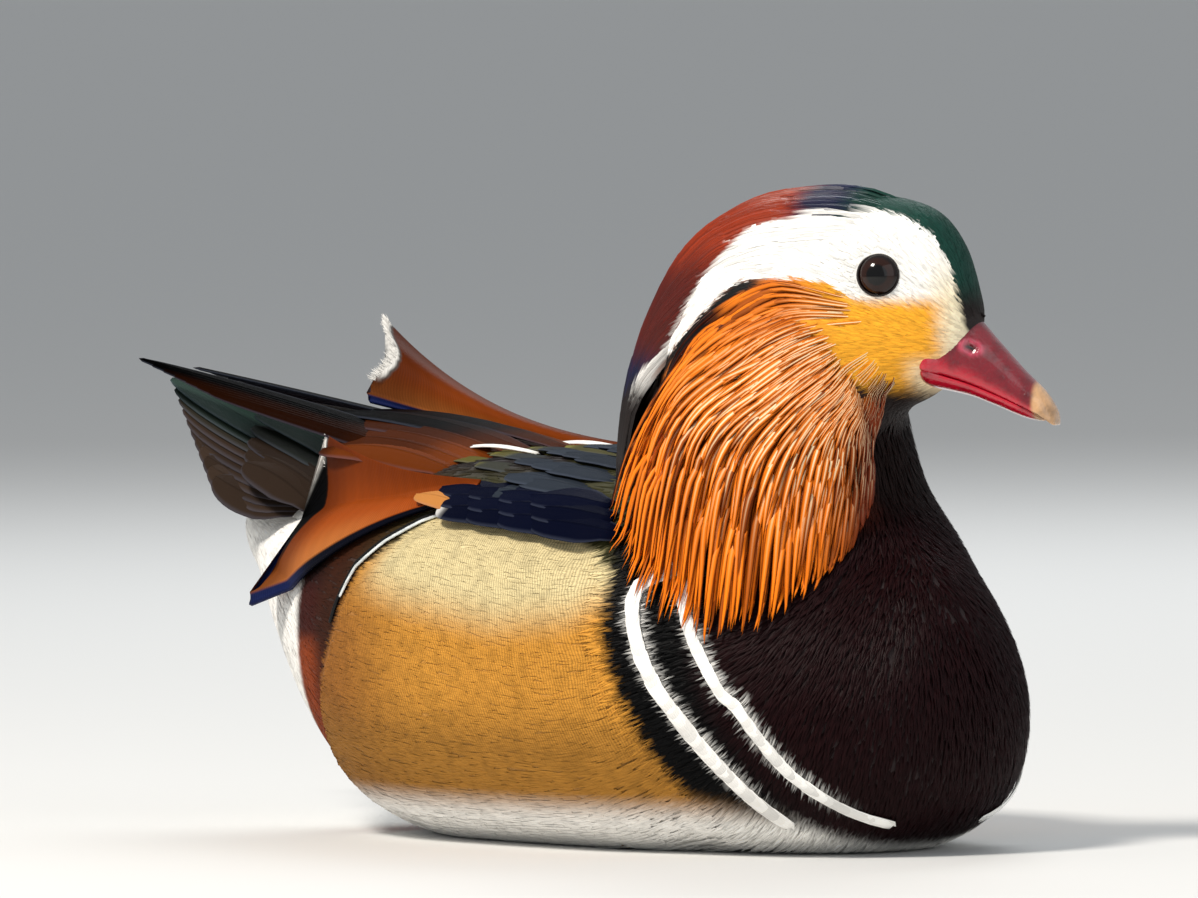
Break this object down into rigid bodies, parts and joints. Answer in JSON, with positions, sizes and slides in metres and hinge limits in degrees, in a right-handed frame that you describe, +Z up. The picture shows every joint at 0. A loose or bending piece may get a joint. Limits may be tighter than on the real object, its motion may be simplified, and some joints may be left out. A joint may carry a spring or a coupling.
{
  "type": "mandarin duck",
  "caption": "Life-size still model of a drake mandarin duck sitting on its belly, head turned left, with crest, ruff and sails.",
  "frame": {"origin": "on the floor under the middle of the bird's bounding box", "axes": "+X to the breast, +Y to the bird's left, +Z up"},
  "size_m": [0.3036, 0.1238, 0.1547],
  "materials": {
    "body_feathers": "soft plumage, finely barred buff flanks, dark purple breast, white belly",
    "ruff_feathers": "long orange hackles with pale shafts, slight silky sheen",
    "head_feathers": "smooth short plumage, white band, green and copper crown",
    "bill": "smooth horny red with a pale nail",
    "eye": "wet dark brown",
    "wing_feathers": "olive and bronze scapulars, brown flight feathers with dark edges",
    "sail_feathers": "broad chestnut orange web with a pale rear edge and a blue outer web",
    "tail_feathers": "grey brown with a green sheen",
    "foot_skin": "scaly yellow orange skin with webs"
  },
  "bodies": {
    "root": {"torso": "body_feathers", "neck": "ruff_feathers", "head": "head_feathers", "bill_upper": "bill", "bill_lower": "bill", "eye_right": "eye", "eye_left": "eye", "wing_right": "wing_feathers", "wing_left": "wing_feathers", "sail_right": "sail_feathers", "sail_left": "sail_feathers", "tail": "tail_feathers", "foot_right": "foot_skin", "foot_left": "foot_skin"}
  },
  "joints": []
}
